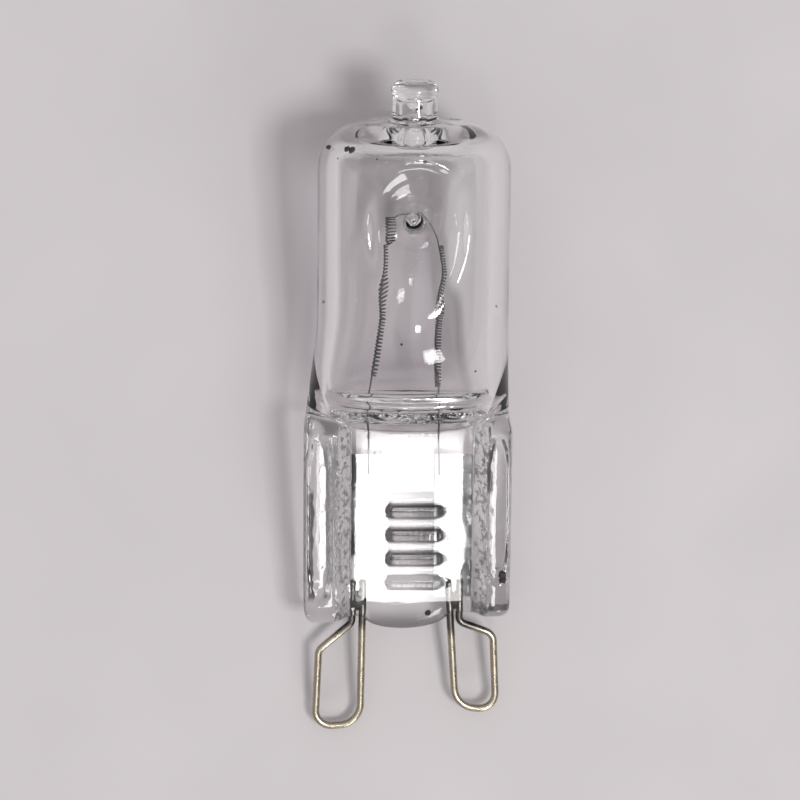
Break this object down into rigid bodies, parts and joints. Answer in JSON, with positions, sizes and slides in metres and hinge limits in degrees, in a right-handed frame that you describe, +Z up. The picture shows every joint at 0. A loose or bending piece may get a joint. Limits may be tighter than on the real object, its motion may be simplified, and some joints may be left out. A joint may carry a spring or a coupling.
{
  "type": "halogen capsule lamp",
  "caption": "Clear quartz halogen capsule lamp with a flat pinch, a coiled filament hooked over a glass pillar and wire loop contacts.",
  "frame": {"origin": "middle of the lamp's box on the table that it lies on", "axes": "X across the flat pinch, +Y along the table from the contacts towards the exhaust tip, Z up"},
  "size_m": [0.0138, 0.0432, 0.0143],
  "materials": {
    "quartz_glass": "gloss",
    "contact_wire": "satin",
    "sealing_foil": "satin",
    "lead_wire": "matte",
    "tungsten": "matte"
  },
  "bodies": {
    "root": {"glass_envelope": "quartz_glass", "contact_loop_left": "contact_wire", "contact_loop_right": "contact_wire", "foil_left": "sealing_foil", "foil_right": "sealing_foil", "inner_lead_left": "lead_wire", "inner_lead_right": "lead_wire", "filament": "tungsten"}
  },
  "joints": []
}
